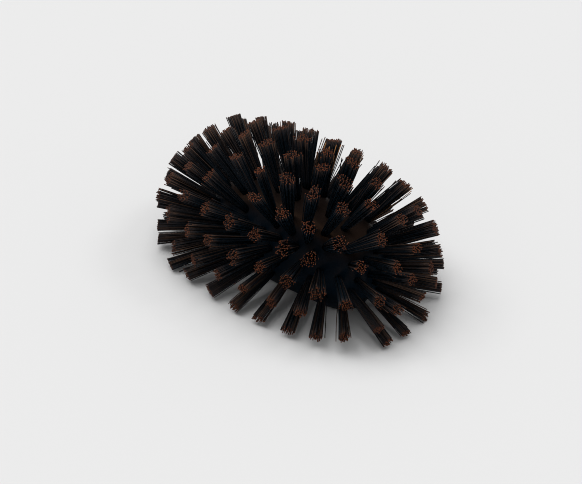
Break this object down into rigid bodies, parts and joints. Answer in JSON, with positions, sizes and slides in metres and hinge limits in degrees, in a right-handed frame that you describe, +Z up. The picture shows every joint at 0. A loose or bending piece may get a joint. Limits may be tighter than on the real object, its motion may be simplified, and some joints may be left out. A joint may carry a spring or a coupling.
{
  "type": "tank brush",
  "caption": "Oval domed brush head with rows of stiff dark tufts radiating on all sides and a handle socket in its flat underside",
  "frame": {"origin": "centre of the flat underside, on the surface that the brush rests on", "axes": "+X along the oval block, +Y across it, +Z up out of the crown"},
  "size_m": [0.2032, 0.1272, 0.0986],
  "materials": {
    "block_plastic": "smooth satin dark brown",
    "bristle": "near-black brown filament"
  },
  "bodies": {
    "root": {"block": "block_plastic", "crest_bristles": "bristle", "row_1_back_bristles": "bristle", "row_1_front_bristles": "bristle", "row_1_left_end_bristles": "bristle", "row_1_right_end_bristles": "bristle", "row_2_back_bristles": "bristle", "row_2_front_bristles": "bristle", "row_2_left_end_bristles": "bristle", "row_2_right_end_bristles": "bristle", "row_3_back_bristles": "bristle", "row_3_front_bristles": "bristle", "row_3_left_end_bristles": "bristle", "row_3_right_end_bristles": "bristle", "row_4_back_bristles": "bristle", "row_4_front_bristles": "bristle", "row_4_left_end_bristles": "bristle", "row_4_right_end_bristles": "bristle", "row_5_back_bristles": "bristle", "row_5_front_bristles": "bristle", "row_5_left_end_bristles": "bristle", "row_5_right_end_bristles": "bristle", "row_6_back_bristles": "bristle", "row_6_front_bristles": "bristle", "row_6_left_end_bristles": "bristle", "row_6_right_end_bristles": "bristle"}
  },
  "joints": []
}
